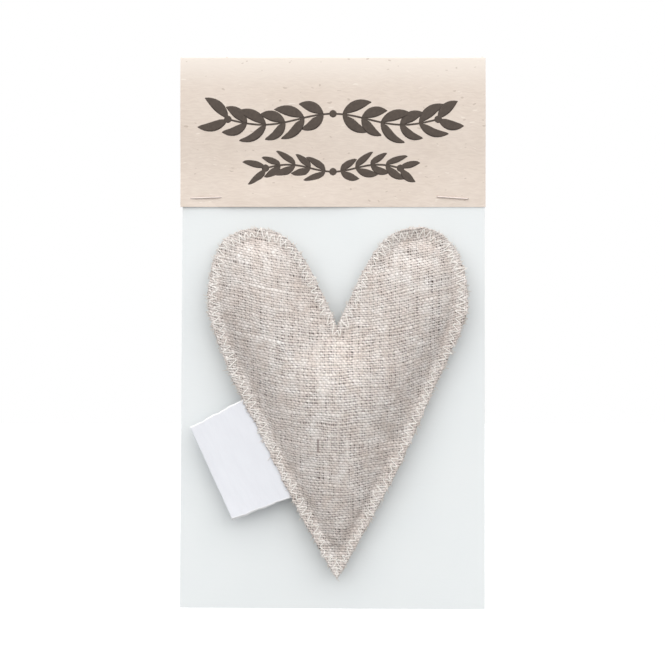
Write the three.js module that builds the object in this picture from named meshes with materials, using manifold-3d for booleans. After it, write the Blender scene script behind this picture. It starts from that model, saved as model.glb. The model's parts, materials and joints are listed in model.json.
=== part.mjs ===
// A heart-shaped linen sachet, filled with lavender, on the stapled card that it is sold on.
//
// The pack is modelled lying face up and is stood upright at the end. While it lies, x runs
// to the right, y runs up the card from the top of the header's fold, and z comes forward
// from the middle of the backing card. All lengths are in millimetres.

import * as THREE from 'three';
import { mergeVertices } from 'three/addons/utils/BufferGeometryUtils.js';
import Module from 'manifold-3d';

const wasm = await Module();
wasm.setup();

const degrees = THREE.MathUtils.degToRad;

// Driving sizes of the display card
const packHeight = 220.2;
const cardWidth = 120.4;
const cardRight = 60.7;
const cardThickness = 0.5;
const cardSideSlant = degrees(0.43);
const cardFootSlant = degrees(0.33);
const cardBelowFold = 2.4;
const headerWidth = 122;
const headerHeight = 60;
const headerThickness = 0.35;
const foldRadius = 1.6;
const pressedBand = 9;
const plyGap = 0.05;

// Driving sizes of the two staples
const stapleCrown = 12.9;
const stapleLeg = 6;
const wireWidth = 0.7;
const wireThickness = 0.5;
const clinchBow = 0.25;
const stapleAboveEdge = 3.7;
const stapleHoleGap = 0.15;
const staples = [
  { name: 'staple_left', acrossShare: -0.416, turn: degrees(1.9) },
  { name: 'staple_right', acrossShare: 0.392, turn: degrees(-3.8) },
];

// Driving sizes of the heart
const heartHalfWidth = 51.4;
const lobeRise = 39.2;
const heartDrop = 100.4;
const cleftFan = 2;
const cleftBelowHeader = 48;
const heartOffCentre = 1.6;
const seamMargin = 5;
const linenThickness = 0.6;
const panelGap = 0.2;
const frontCrown = 13;
const backCrown = 5.5;
const fillingGap = 0.3;

// Driving sizes of the stitching
const stitchPitch = 2.7;
const stitchWidth = 3.1;
const stitchInset = 1;
const threadWidth = 0.36;
const threadGap = 0.1;

// Driving sizes of the folded ribbon label
const labelWidth = 42;
const labelReach = 23;
const ribbonThickness = 0.15;
const ribbonLoopGap = 0.2;
const labelHingeGap = 0.3;
const labelStandOff = 1.2;
const labelClearance = 0.15;
const labelRiseRun = 12;

// Driving sizes of the removable glue dots
const glueDotRadius = 5;
const glueDotThickness = 0.9;
const glueDotSeat = 0.3;

// One overrun serves every cut, and samples at this pitch stand for the length of the seam.
const cutOverrun = 1;
const samplePitch = 1;

// How many straight steps stand for each curve or arc of a strip, and for a glue dot's rounds
const stripSteps = 6;
const dotRimSteps = 3;
const dotSides = 24;

// The colour, roughness and metalness of each material
const finishes = {
  board: { color: 0xe6ebec, roughness: 0.8, metalness: 0 },
  kraft: { color: 0xe5d8cb, roughness: 0.9, metalness: 0 },
  steel: { color: 0xc9cbce, roughness: 0.35, metalness: 1 },
  linen: { color: 0xcdc3bb, roughness: 0.95, metalness: 0 },
  thread: { color: 0xe9dfd5, roughness: 0.8, metalness: 0 },
  satin: { color: 0xf0f2f5, roughness: 0.5, metalness: 0 },
  lavender: { color: 0x77718f, roughness: 1, metalness: 0 },
  glue: { color: 0xf2f3ee, roughness: 0.2, metalness: 0 },
};

const pack = new THREE.Group();

function addPiece(parent, name, geometry, finish) {
  const mesh = new THREE.Mesh(geometry, new THREE.MeshStandardMaterial(finish));
  mesh.name = name;
  parent.add(mesh);
  return mesh;
}

// Cutting: a closed geometry becomes a solid, and the solid that is left becomes a geometry.

function toSolid(geometry) {
  const bare = geometry.clone();
  bare.deleteAttribute('normal');
  bare.deleteAttribute('uv');
  const merged = mergeVertices(bare);
  return new wasm.Manifold(new wasm.Mesh({
    numProp: 3,
    vertProperties: new Float32Array(merged.attributes.position.array),
    triVerts: new Uint32Array(merged.index.array),
  }));
}

function cutAway(geometry, tools) {
  const left = tools.reduce((solid, tool) => solid.subtract(toSolid(tool)), toSolid(geometry));
  const mesh = left.getMesh();
  const result = new THREE.BufferGeometry();
  result.setAttribute('position', new THREE.BufferAttribute(mesh.vertProperties, 3));
  result.setIndex(new THREE.BufferAttribute(mesh.triVerts, 1));
  return result;
}

// A bent strip: its middle line lies in the x-z plane, its thickness is across that line, and
// its width runs along y. The folded header, the staples and the label are all bent strips.
const shortestStepShare = 0.01;

function bentStrip(middleLine, thickness, width) {
  const shortestStep = shortestStepShare * thickness;
  const points = middleLine.getPoints(stripSteps).filter(
    (point, i, all) => i === 0 || point.distanceTo(all[i - 1]) > shortestStep,
  );
  const sides = points.map((point, i) => {
    const before = points[Math.max(i - 1, 0)];
    const after = points[Math.min(i + 1, points.length - 1)];
    const along = after.clone().sub(before).normalize();
    return new THREE.Vector2(-along.y, along.x).multiplyScalar(thickness / 2);
  });
  const left = points.map((point, i) => point.clone().add(sides[i]));
  const right = points.map((point, i) => point.clone().sub(sides[i]));
  const outline = new THREE.Shape([...left, ...right.reverse()]);
  const strip = new THREE.ExtrudeGeometry(outline, { depth: width, bevelEnabled: false });
  strip.rotateX(Math.PI / 2);
  strip.translate(0, width / 2, 0);
  return strip;
}

// Depths through the stapled stack, counted forward from the middle of the backing card
const cardFace = cardThickness / 2;
const flapMiddle = cardFace + plyGap + headerThickness / 2;
const flapFace = flapMiddle + headerThickness / 2;
const crownMiddle = flapFace + plyGap + wireThickness / 2;

// Each staple has its own frame: the middle of its crown's height, turned as it was driven.
function stapleFrame({ acrossShare, turn }) {
  return new THREE.Matrix4()
    .makeRotationZ(turn)
    .setPosition(acrossShare * headerWidth, stapleAboveEdge - headerHeight, 0);
}

// The legs go through the stack and are clinched inwards behind it. The wire bends so tightly
// that the round inside each bend stays within the clearance of its hole.
const bendInHoleShare = 0.8;
const legFromMiddle = stapleCrown / 2 - wireThickness / 2;
const bendMiddle = bendInHoleShare * stapleHoleGap + wireThickness / 2;
const clinchLength = stapleLeg - 2 * crownMiddle - wireThickness;

function stapleGeometry() {
  const wire = new THREE.Path();
  const across = legFromMiddle - bendMiddle;
  const down = crownMiddle - bendMiddle;
  const tip = legFromMiddle - clinchLength;
  const bowAt = (across + tip) / 2;
  wire.moveTo(-tip, -crownMiddle);
  wire.quadraticCurveTo(-bowAt, -crownMiddle - clinchBow, -across, -crownMiddle);
  wire.absarc(-across, -down, bendMiddle, -Math.PI / 2, -Math.PI, true);
  wire.absarc(-across, down, bendMiddle, Math.PI, Math.PI / 2, true);
  wire.lineTo(across, crownMiddle);
  wire.absarc(across, down, bendMiddle, Math.PI / 2, 0, true);
  wire.absarc(across, -down, bendMiddle, 0, -Math.PI / 2, true);
  wire.quadraticCurveTo(bowAt, -crownMiddle - clinchBow, tip, -crownMiddle);
  return bentStrip(wire, wireThickness, wireWidth);
}

// The holes that the legs punch, one box for each leg, through every layer of the stack
function stapleHoles() {
  const size = wireThickness + 2 * stapleHoleGap;
  const height = wireWidth + 2 * stapleHoleGap;
  const depth = 2 * (crownMiddle + cutOverrun);
  return staples.flatMap((staple) => [-legFromMiddle, legFromMiddle].map((across) => {
    const hole = new THREE.BoxGeometry(size, height, depth);
    hole.translate(across, 0, 0);
    return hole.applyMatrix4(stapleFrame(staple));
  }));
}

// The header is one strip of recycled card. It is folded over the top of the backing card with
// a soft, round fold, and its flaps come together where the staples press them flat.
function headerGeometry() {
  const foldAt = -(foldRadius + headerThickness / 2);
  const pressedFrom = pressedBand - headerHeight;
  const bow = (pressedFrom + foldAt) / 2;
  const line = new THREE.Path();
  line.moveTo(-headerHeight, flapMiddle);
  line.lineTo(pressedFrom, flapMiddle);
  line.bezierCurveTo(bow, flapMiddle, bow, foldRadius, foldAt, foldRadius);
  line.absarc(foldAt, 0, foldRadius, Math.PI / 2, -Math.PI / 2, true);
  line.bezierCurveTo(bow, -foldRadius, bow, -flapMiddle, pressedFrom, -flapMiddle);
  line.lineTo(-headerHeight, -flapMiddle);
  const strip = bentStrip(line, headerThickness, headerWidth);
  return strip.rotateZ(Math.PI / 2);
}

// The card is cut by hand, a little out of square: its left side runs outwards to the foot, and
// its foot drops towards the right. Its width is that of its top, under the fold.
function backingCardGeometry() {
  const left = cardRight - cardWidth;
  const footLeft = left - (packHeight - cardBelowFold) * Math.tan(cardSideSlant);
  const footDrop = (cardRight - footLeft) * Math.tan(cardFootSlant);
  const outline = new THREE.Shape([
    new THREE.Vector2(left, -cardBelowFold),
    new THREE.Vector2(footLeft, -packHeight),
    new THREE.Vector2(cardRight, -packHeight - footDrop),
    new THREE.Vector2(cardRight, -cardBelowFold),
  ]);
  const card = new THREE.ExtrudeGeometry(outline, { depth: cardThickness, bevelEnabled: false });
  return card.translate(0, 0, -cardThickness / 2);
}

addPiece(pack, 'backing_card', cutAway(backingCardGeometry(), stapleHoles()), finishes.board);
addPiece(pack, 'header_card', cutAway(headerGeometry(), stapleHoles()), finishes.kraft);
for (const staple of staples) {
  const mesh = addPiece(pack, staple.name, stapleGeometry(), finishes.steel);
  mesh.applyMatrix4(stapleFrame(staple));
}

// The heart's outline, from the cleft round one lobe and down to the tip, as three curves.
// Across, the shares are of the half width. Up, they are of the lobes' rise above the cleft,
// and down, of the drop from the cleft to the tip.
const innerLobeShares = [[0.222, 0.653], [0.307, 1], [0.619, 1]];
const outerLobeShares = [[0.885, 1], [1, 0.714], [1, 0.204]];
const sideShares = [[1, -0.08], [0.389, -0.622], [0, -1]];

function outlineCurve(path, shares) {
  const places = shares.flatMap(([across, up]) => [
    across * heartHalfWidth,
    up * (up > 0 ? lobeRise : heartDrop),
  ]);
  path.bezierCurveTo(...places);
}

const halfOutline = new THREE.Path();
halfOutline.moveTo(0, 0);
for (const shares of [innerLobeShares, outerLobeShares, sideShares]) {
  outlineCurve(halfOutline, shares);
}
const halfLength = halfOutline.getLength();

// A place on the raw edge, by its run: the length of edge from the cleft, positive down the
// right side and negative down the left. Insets fan out round the cleft, and at the tip an
// inset reaches further up, as it does in any sharp corner.
function edgeAt(run) {
  const share = Math.min(Math.abs(run) / halfLength, 1);
  const side = run < 0 ? -1 : 1;
  const point = halfOutline.getPointAt(share);
  const along = halfOutline.getTangentAt(share);
  const fan = Math.min(Math.abs(run) / cleftFan, 1);
  const inward = new THREE.Vector2(0, -1)
    .lerp(new THREE.Vector2(side * along.y, -along.x), fan)
    .normalize();
  if (share === 1) {
    inward.set(0, 1 / Math.abs(along.x));
  }
  return { run, edge: new THREE.Vector2(side * point.x, point.y), inward };
}

const insetFrom = (place, inset) => place.edge.clone().addScaledVector(place.inward, inset);

// The same, but held back where the two sides of the heart come together at its tip
const cornerShare = 0.55;

function heldInset(place, inset) {
  const toAxis = Math.abs(place.edge.x / place.inward.x);
  const closing = place.edge.x * place.inward.x < 0;
  return insetFrom(place, closing ? Math.min(inset, cornerShare * toAxis) : inset);
}

// Spokes cross the seam margin squarely. They are evenly spaced but for two more that fan out
// at the cleft, and for the last step to the tip, which lets the seam turn the corner there.
const spokesPerSide = 28;
const tipStep = 2.2 * seamMargin;
const spokeStep = (halfLength - tipStep) / spokesPerSide;
const evenRuns = Array.from({ length: spokesPerSide }, (_, k) => (k + 1) * spokeStep);
const rightRuns = [cleftFan / 2, cleftFan, ...evenRuns];
const spokes = [0, ...rightRuns, halfLength, ...rightRuns.map((run) => -run).reverse()]
  .map(edgeAt);
const tipSpoke = rightRuns.length + 1;

// The seam as short lengths, which together pull the cloth down
function shortLengths(corners, pitch) {
  return corners.flatMap((from, i) => {
    const to = corners[(i + 1) % corners.length];
    const count = Math.ceil(from.distanceTo(to) / pitch);
    const length = from.distanceTo(to) / count;
    return Array.from({ length: count }, (_, k) => (
      { at: from.clone().lerp(to, (k + 0.5) / count), length }
    ));
  });
}

const seamLengths = shortLengths(spokes.map((spoke) => insetFrom(spoke, seamMargin)), samplePitch);

// The room that a point has to the seam, as one smooth measure: each length of the seam counts
// by the inverse cube of its distance. Beside one long straight seam it is the plain distance.
function roomAt(point) {
  const pull = seamLengths.reduce(
    (sum, { at, length }) => sum + length / at.distanceTo(point) ** 3,
    0,
  );
  return Math.sqrt(2 / pull);
}

// The most room is somewhere on the axis, between the seam at the cleft and the seam at the tip.
const axisLength = heartDrop - 2 * seamMargin;
const axisSamples = Array.from(
  { length: Math.floor(axisLength / samplePitch) - 1 },
  (_, k) => new THREE.Vector2(0, -seamMargin - (k + 1) * samplePitch),
);
const mostRoom = Math.max(...axisSamples.map(roomAt));

// The filled heart swells steeply from the seam and levels off towards the middle. The back
// levels off sooner, because it lies against the card.
const swellPower = 0.6;
const backFlatness = 3;
const swellShare = (point) => Math.min(roomAt(point) / mostRoom, 1) ** swellPower;
const frontSwell = (point) => frontCrown * swellShare(point);
const backSwell = (point) => backCrown * (1 - (1 - swellShare(point)) ** backFlatness);

// The label goes in at the lower left side. The panels part there to let it between them.
const labelPlaceShare = 0.725;
const labelPlace = edgeAt(-labelPlaceShare * halfLength);
const labelTailThickness = 2 * ribbonThickness;

function halfGapAt(run) {
  const beyond = Math.abs(run - labelPlace.run) - labelWidth / 2 - spokeStep;
  const parted = 1 - THREE.MathUtils.smoothstep(beyond, 0, labelRiseRun);
  return THREE.MathUtils.lerp(panelGap / 2, labelTailThickness / 2 + labelClearance, parted);
}

// A layer of the heart: its points, the faces between them as they show from the front, and
// which points lie on the seam. Each half of the heart, between the seam and the axis, is filled
// with rings that close in on its own middle.
const ringShares = [0.09, 0.24, 0.45, 0.7];
const axisPoints = 12;
const halfMiddleShares = [0.37, -0.14];
const level = panelGap / 2 + linenThickness;

function heartLayer(swell) {
  const points = [];
  const faces = [];
  const add = (flat, height) => points.push(new THREE.Vector3(flat.x, flat.y, height)) - 1;
  const addSwollen = (flat) => add(flat, level + swell(flat));

  function addStrip(outer, inner) {
    outer.forEach((corner, k) => {
      const next = (k + 1) % outer.length;
      faces.push([corner, inner[k], inner[next]], [corner, inner[next], outer[next]]);
    });
  }

  function fillHalf(loop, middle) {
    let outer = loop;
    for (const share of ringShares) {
      const inner = loop.map((corner) => {
        const { x, y } = points[corner];
        return addSwollen(new THREE.Vector2(x, y).lerp(middle, share));
      });
      addStrip(outer, inner);
      outer = inner;
    }
    const top = addSwollen(middle);
    outer.forEach((corner, k) => faces.push([corner, top, outer[(k + 1) % outer.length]]));
  }

  const addMargin = (inset) => spokes.map((spoke) => (
    add(insetFrom(spoke, inset), halfGapAt(spoke.run) + linenThickness)
  ));
  const seam = addMargin(seamMargin);
  const ends = [seam[0], seam[tipSpoke]].map((corner) => points[corner].y);
  const axis = Array.from({ length: axisPoints }, (_, k) => {
    const share = (k + 1) / (axisPoints + 1);
    return addSwollen(new THREE.Vector2(0, THREE.MathUtils.lerp(...ends, share)));
  });
  const across = halfMiddleShares[0] * heartHalfWidth;
  const up = halfMiddleShares[1] * heartDrop;
  fillHalf([...seam.slice(0, tipSpoke + 1), ...axis.toReversed()], new THREE.Vector2(across, up));
  fillHalf([seam[0], ...axis, ...seam.slice(tipSpoke)], new THREE.Vector2(-across, up));
  addStrip(addMargin(0), seam);
  return { points, faces, seam };
}

function geometryOf(points, faces) {
  const geometry = new THREE.BufferGeometry().setFromPoints(points);
  geometry.setIndex(faces.flat());
  return geometry;
}

// The same layer moved down its own normals, as the other face of a cloth is
function sunk({ points, faces }, depth) {
  const geometry = geometryOf(points, faces);
  geometry.computeVertexNormals();
  const normals = geometry.attributes.normal;
  const moved = points.map((point, i) => (
    point.clone().addScaledVector(new THREE.Vector3().fromBufferAttribute(normals, i), -depth)
  ));
  return { points: moved, faces };
}

const turnedOver = ({ points, faces }) => (
  { points: points.map(({ x, y, z }) => new THREE.Vector3(x, y, -z)), faces }
);

// The edges that only one face uses, which are the layer's border
function borderOf(faces) {
  const edges = faces.flatMap(([a, b, c]) => [[a, b], [b, c], [c, a]]);
  const used = new Set(edges.map(([from, to]) => `${from} ${to}`));
  return edges.filter(([from, to]) => !used.has(`${to} ${from}`));
}

// A closed body between a front layer and a back layer that have the same faces
function bodyBetween(front, back) {
  const count = front.points.length;
  const behind = front.faces.map(([a, b, c]) => [c + count, b + count, a + count]);
  const rim = borderOf(front.faces).flatMap(([from, to]) => (
    [[to, from, from + count], [to, from + count, to + count]]
  ));
  const body = geometryOf([...front.points, ...back.points], [...front.faces, ...behind, ...rim]);
  return mergeVertices(body.toNonIndexed());
}

const frontFace = heartLayer(frontSwell);
const backFace = heartLayer(backSwell);
const linenFront = bodyBetween(frontFace, sunk(frontFace, linenThickness));
const linenBack = bodyBetween(
  turnedOver(sunk(backFace, linenThickness)),
  turnedOver(backFace),
);

// The filling lies under the swollen part of each panel, parallel to the cloth and clear of it.
// It has the faces of the panels but for those that touch the seam.
function fillingLayer(face) {
  const atSeam = new Set(face.seam);
  const { points } = sunk(face, linenThickness + fillingGap);
  return { points, faces: face.faces.filter((corners) => !corners.some((i) => atSeam.has(i))) };
}

const filling = bodyBetween(fillingLayer(frontFace), turnedOver(fillingLayer(backFace)));

// The zigzag runs all round the seam margin as one closed loop of thread. Its points lie in turn
// near the raw edge and near the swell, and it narrows to a point at the heart's tip.
const tipStitchGap = 1.5 * stitchPitch;

function stitchLine(gapAt) {
  const sewn = halfLength - tipStitchGap;
  const strokes = 2 * Math.round(sewn / stitchPitch);
  const near = stitchInset + threadWidth / 2;
  const far = near + stitchWidth - threadWidth;
  const right = Array.from({ length: strokes }, (_, k) => {
    const run = ((k + 1) / strokes) * sewn;
    return { run, inset: k % 2 === 0 ? near : far };
  });
  const tip = { run: halfLength, inset: near };
  const left = right.map(({ run, inset }) => ({ run: -run, inset })).reverse();
  return [{ run: 0, inset: far }, ...right, tip, ...left].map(({ run, inset }) => {
    const flat = heldInset(edgeAt(run), inset);
    return new THREE.Vector3(flat.x, flat.y, gapAt(run) + linenThickness + threadGap);
  });
}

// The thread has three sides: a flat one on the cloth, and two that meet along its top. At each
// turn of the zigzag its sides stand along the line that halves the corner.
const sharpestMiter = 1.7;

function threadGeometry(line) {
  const points = line.flatMap((point, i) => {
    const before = line[(i + line.length - 1) % line.length];
    const after = line[(i + 1) % line.length];
    const arriving = point.clone().sub(before).setZ(0).normalize();
    const leaving = after.clone().sub(point).setZ(0).normalize();
    const along = arriving.clone().add(leaving).normalize();
    const side = new THREE.Vector3(along.y, -along.x, 0);
    const lean = Math.abs(side.dot(new THREE.Vector3(arriving.y, -arriving.x, 0)));
    const reach = (threadWidth / 2) * Math.min(1 / lean, sharpestMiter);
    return [
      point.clone().addScaledVector(side, reach),
      point.clone().addScaledVector(side, -reach),
      point.clone().setZ(point.z + threadWidth),
    ];
  });
  const faces = line.flatMap((_, i) => {
    const here = 3 * i;
    const next = 3 * ((i + 1) % line.length);
    return [0, 1, 2].flatMap((corner) => {
      const other = (corner + 1) % 3;
      return [
        [here + corner, next + corner, next + other],
        [here + corner, next + other, here + other],
      ];
    });
  });
  return geometryOf(points, faces.map(([a, b, c]) => [a, c, b]));
}

// The bobbin thread is the same loop on the other side of the cloth. It is laid out on the heart
// seen from behind, where left and right change places, and is then turned over whole.
const needleThread = threadGeometry(stitchLine(halfGapAt));
const bobbinThread = threadGeometry(stitchLine((run) => halfGapAt(-run))).rotateY(Math.PI);

// The label is a ribbon folded in half. Its tail is held between the panels, pressed flat, and
// its loop stands out past the raw edge, where it bends about a line along the heart's side.
const tailInset = seamMargin - labelClearance;
const tailLength = tailInset + labelStandOff - labelHingeGap - ribbonThickness;
const label = new THREE.Group();
const labelHinge = insetFrom(labelPlace, -labelStandOff);
label.position.set(labelHinge.x, labelHinge.y, 0);
label.rotation.z = Math.atan2(-labelPlace.inward.y, -labelPlace.inward.x);

function labelTailGeometry() {
  const tail = new THREE.BoxGeometry(tailLength, labelWidth, labelTailThickness);
  return tail.translate(tailLength / 2 - labelStandOff - tailInset, 0, 0);
}

function labelLoopGeometry() {
  const plyMiddle = (ribbonLoopGap + ribbonThickness) / 2;
  const turnAt = labelReach - plyMiddle - ribbonThickness / 2;
  const line = new THREE.Path();
  line.moveTo(labelHingeGap, plyMiddle);
  line.lineTo(turnAt, plyMiddle);
  line.absarc(turnAt, 0, plyMiddle, Math.PI / 2, -Math.PI / 2, true);
  line.lineTo(labelHingeGap, -plyMiddle);
  return bentStrip(line, ribbonThickness, labelWidth);
}

// The sachet stands off the card by its own back and by the glue dots that hold it there.
const backDepth = Math.max(...backFace.points.map((point) => point.z));
const seamDepth = cardFace + plyGap + glueDotThickness + glueDotSeat + backDepth;
const cleftUp = -(headerHeight + cleftBelowHeader);

const sachet = new THREE.Group();
sachet.position.set(heartOffCentre, cleftUp, seamDepth);
addPiece(sachet, 'linen_front', linenFront, finishes.linen);
addPiece(sachet, 'linen_back', linenBack, finishes.linen);
addPiece(sachet, 'lavender_filling', filling, finishes.lavender);
addPiece(sachet, 'needle_thread', needleThread, finishes.thread);
addPiece(sachet, 'bobbin_thread', bobbinThread, finishes.thread);
addPiece(label, 'label_tail', labelTailGeometry(), finishes.satin);
addPiece(label, 'label_loop', labelLoopGeometry(), finishes.satin);
sachet.add(label);
pack.add(sachet);

// A glue dot is a soft clear disc with a round rim, stuck to the card behind the heart's middle.
function glueDotGeometry() {
  const rim = glueDotThickness / 2;
  const profile = new THREE.Path();
  profile.moveTo(0, 0);
  profile.lineTo(glueDotRadius - rim, 0);
  profile.absarc(glueDotRadius - rim, rim, rim, -Math.PI / 2, Math.PI / 2, false);
  profile.lineTo(0, glueDotThickness);
  const dot = new THREE.LatheGeometry(profile.getPoints(dotRimSteps), dotSides);
  return dot.rotateX(Math.PI / 2);
}

const glueDots = [
  { name: 'glue_dot_upper', belowShare: 0.19 },
  { name: 'glue_dot_lower', belowShare: 0.45 },
];
for (const { name, belowShare } of glueDots) {
  const dot = addPiece(pack, name, glueDotGeometry(), finishes.glue);
  dot.position.set(heartOffCentre, cleftUp - belowShare * heartDrop, cardFace + plyGap);
}

// The finished pack is stood up: the header is at the top and the heart faces forward, to -y.
pack.rotation.x = Math.PI / 2;

console.log(`heart edge ${(2 * halfLength).toFixed(1)} mm, seam plane ${seamDepth.toFixed(2)} mm`);
console.log(`label hinge at ${labelHinge.x.toFixed(3)}, ${labelHinge.y.toFixed(3)} in the heart`);

export default pack;
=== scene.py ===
# %% [markdown]
# # A linen heart filled with lavender, on its display card
#
# The object is a shop pack. A heart, sewn from two panels of coarse linen with the raw edges left
# outside, is filled with dried lavender and stuck to a pale card. A header of recycled paper is
# folded over the card and stapled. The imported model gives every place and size. This script makes
# the surfaces that the eye sees: woven cloth, thread, frayed yarn, satin, paper and wire.
#
# Shapes are worked out in millimetres as numpy arrays, and become metres when a mesh is made.

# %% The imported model, as a fixed frame
import json
import math

import bpy
import numpy as np
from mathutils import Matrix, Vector
from mathutils.geometry import delaunay_2d_cdt


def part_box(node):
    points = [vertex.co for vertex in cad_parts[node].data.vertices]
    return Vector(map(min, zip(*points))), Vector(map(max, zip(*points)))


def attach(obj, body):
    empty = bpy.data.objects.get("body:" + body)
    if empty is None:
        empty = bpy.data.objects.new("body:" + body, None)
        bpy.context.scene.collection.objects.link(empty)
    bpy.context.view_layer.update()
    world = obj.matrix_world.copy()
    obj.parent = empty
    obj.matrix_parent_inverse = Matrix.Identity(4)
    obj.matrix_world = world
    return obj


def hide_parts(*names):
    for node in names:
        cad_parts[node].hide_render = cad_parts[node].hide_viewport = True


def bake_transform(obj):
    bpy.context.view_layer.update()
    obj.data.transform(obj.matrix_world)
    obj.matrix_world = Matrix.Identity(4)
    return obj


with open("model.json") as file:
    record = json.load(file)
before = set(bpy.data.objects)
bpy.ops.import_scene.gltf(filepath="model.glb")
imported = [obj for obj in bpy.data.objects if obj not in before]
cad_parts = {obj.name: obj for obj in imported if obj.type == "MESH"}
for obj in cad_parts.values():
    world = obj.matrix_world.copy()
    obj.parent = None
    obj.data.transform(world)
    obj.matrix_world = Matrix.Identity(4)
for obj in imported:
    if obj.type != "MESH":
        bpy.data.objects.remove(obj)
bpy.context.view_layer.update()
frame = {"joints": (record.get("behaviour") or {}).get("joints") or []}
mm = 0.001


def box_mm(name):
    """The low and the high corner of a CAD part's box, in millimetres."""
    return np.array(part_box(name)) / mm


card_low, card_high = box_mm("backing_card")
header_low, header_high = box_mm("header_card")
heart_low, heart_high = box_mm("linen_front")
label_joint = next(joint for joint in frame["joints"] if joint["name"] == "label_fold")
label_hinge = np.array(label_joint["pos_m"]) / mm
label_axis = np.array(label_joint["axis"])
seam_y = label_hinge[1]
print("card", card_low.round(1), card_high.round(1), "seam plane at y", seam_y, "mm")

# %% [markdown]
# ## Making meshes from arrays
#
# A surface here is a grid of points, worked out all at once. Neighbours in the grid share a face,
# so one function that numbers the corners of those faces serves every piece. Tubes are grids too:
# a ring of points is carried along a path. Many tubes of one kind, such as frayed yarns, are one
# array with one more axis, and become one mesh.

# %% Faces of grids
def joined(*arrays):
    """Arrays one after another."""
    return np.concatenate(arrays)


def beside(*values):
    """Numbers or arrays side by side along a new last axis, such as the x and z of points."""
    return np.stack(np.broadcast_arrays(*values), axis=-1)


def grid_faces(rows, columns, around_rows=False, around_columns=False):
    """Four corners for each cell of a grid whose points are numbered row by row."""
    row = np.arange(rows if around_rows else rows - 1)[:, None]
    column = np.arange(columns if around_columns else columns - 1)[None, :]
    next_row, next_column = (row + 1) % rows, (column + 1) % columns
    near, far = row * columns, next_row * columns
    corners = beside(near + column, near + next_column, far + next_column, far + column)
    return corners.reshape(-1, 4)


def halved(quads):
    """Each four-cornered face as two triangles."""
    return joined(quads[:, [0, 1, 2]], quads[:, [0, 2, 3]])


def end_caps(sides, rings):
    """Two flat fans of triangles, over the first and the last ring of a tube's points."""
    fan = np.arange(1, sides - 1)
    cap = beside(0, fan, fan + 1)
    return joined(cap[:, ::-1], cap + (rings - 1) * sides)


# %% Meshes and objects
def new_object(name, points, faces, finish=None, places=None):
    """An object with a smooth mesh: points in metres, faces with equal numbers of corners.

    The finish is its material, and places are the cloth's own UV map.
    """
    points, faces = np.asarray(points, float).reshape(-1, 3), np.asarray(faces)
    mesh = bpy.data.meshes.new(name)
    mesh.vertices.add(len(points))
    mesh.vertices.foreach_set("co", points.ravel())
    mesh.loops.add(faces.size)
    mesh.loops.foreach_set("vertex_index", faces.ravel().astype(np.int32))
    starts = np.arange(0, faces.size, faces.shape[1]).astype(np.int32)
    mesh.polygons.add(len(faces))
    mesh.polygons.foreach_set("loop_start", starts)
    mesh.update(calc_edges=True)
    mesh.shade_smooth()
    if places is not None:
        layer = mesh.uv_layers.new(name="cloth")
        layer.uv.foreach_set("vector", np.asarray(places, float)[faces.ravel()].ravel())
    if finish is not None:
        mesh.materials.append(finish)
    obj = bpy.data.objects.new(name, mesh)
    bpy.context.scene.collection.objects.link(obj)
    return obj


def solid_object(name, points, faces, finish):
    """An object with a closed mesh. Its faces turn over if they enclose a negative volume."""
    a, b, c = (points[faces[:, k]] for k in range(3))
    volume = np.einsum("ij,ij->", a, np.cross(b, c))
    return new_object(name, points, faces if volume > 0 else faces[:, ::-1], finish)


def thicken(piece, thickness, offset):
    """A thickness in millimetres for a sheet: behind it with offset -1, to both sides with 0."""
    modifier = piece.modifiers.new("thickness", "SOLIDIFY")
    modifier.thickness, modifier.offset = thickness * mm, offset


# %% Tubes
forwards = np.array([0, -1.0, 0])


def unit(vectors):
    """Vectors of length one, along the last axis."""
    return vectors / np.maximum(np.linalg.norm(vectors, axis=-1, keepdims=True), 1e-12)


def tubes(name, paths, facing, radii, finish, sides, flatness=1.0, closed=False):
    """Round tubes along paths of shape (tubes, steps, 3), as one object.

    Each ring is the path's point plus radius × (flatness × cos a × up + sin a × side), where side
    is square to the path and to the facing direction, and up is square to the path and to side.
    Open ends are closed with a flat cap.
    """
    count, steps = paths.shape[:2]
    ahead, behind = np.roll(paths, -1, axis=1), np.roll(paths, 1, axis=1)
    along = ahead - behind if closed else np.gradient(paths, axis=1)
    side = unit(np.cross(along, facing))
    up = unit(np.cross(side, along))
    angle = np.linspace(0, 2 * np.pi, sides, endpoint=False)
    ring = flatness * np.cos(angle)[:, None] * up[:, :, None]
    ring += np.sin(angle)[:, None] * side[:, :, None]
    radii = np.broadcast_to(radii, (count, steps))[:, :, None, None]
    points = paths[:, :, None] + radii * ring
    faces = halved(grid_faces(steps, sides, around_rows=closed, around_columns=True))
    if not closed:
        faces = joined(faces, end_caps(sides, steps))
    starts = np.arange(count)[:, None, None] * steps * sides
    return solid_object(name, points.reshape(-1, 3), (faces + starts).reshape(-1, 3), finish)


# %% [markdown]
# ## The heart's two loops
#
# The cut edge of the linen follows three curves on each side: up the inside of a lobe, over and
# down its outside, and along the straight side to the tip. The seam lies a margin inside it. Near
# the cleft the seam turns on an arc round the corner, and at the tip it meets itself further up,
# as stitching does. Both loops get the same number of evenly spaced points, so that a place on
# the margin is a share of the way round and a share of the way in.

# %% The heart's outline
lobe_rise_share = 0.2808
curve_steps = 400

heart_x = (heart_low[0] + heart_high[0]) / 2
half_width = (heart_high[0] - heart_low[0]) / 2
lobe_rise = lobe_rise_share * (heart_high[2] - heart_low[2])
cleft_z = heart_high[2] - lobe_rise
heart_drop = cleft_z - heart_low[2]
outline_shares = [
    [[0, 0], [0.222, 0.653], [0.307, 1], [0.619, 1]],
    [[0.619, 1], [0.885, 1], [1, 0.714], [1, 0.204]],
    [[1, 0.204], [1, -0.02], [0.34, -0.72], [0, -1]],
]


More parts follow.
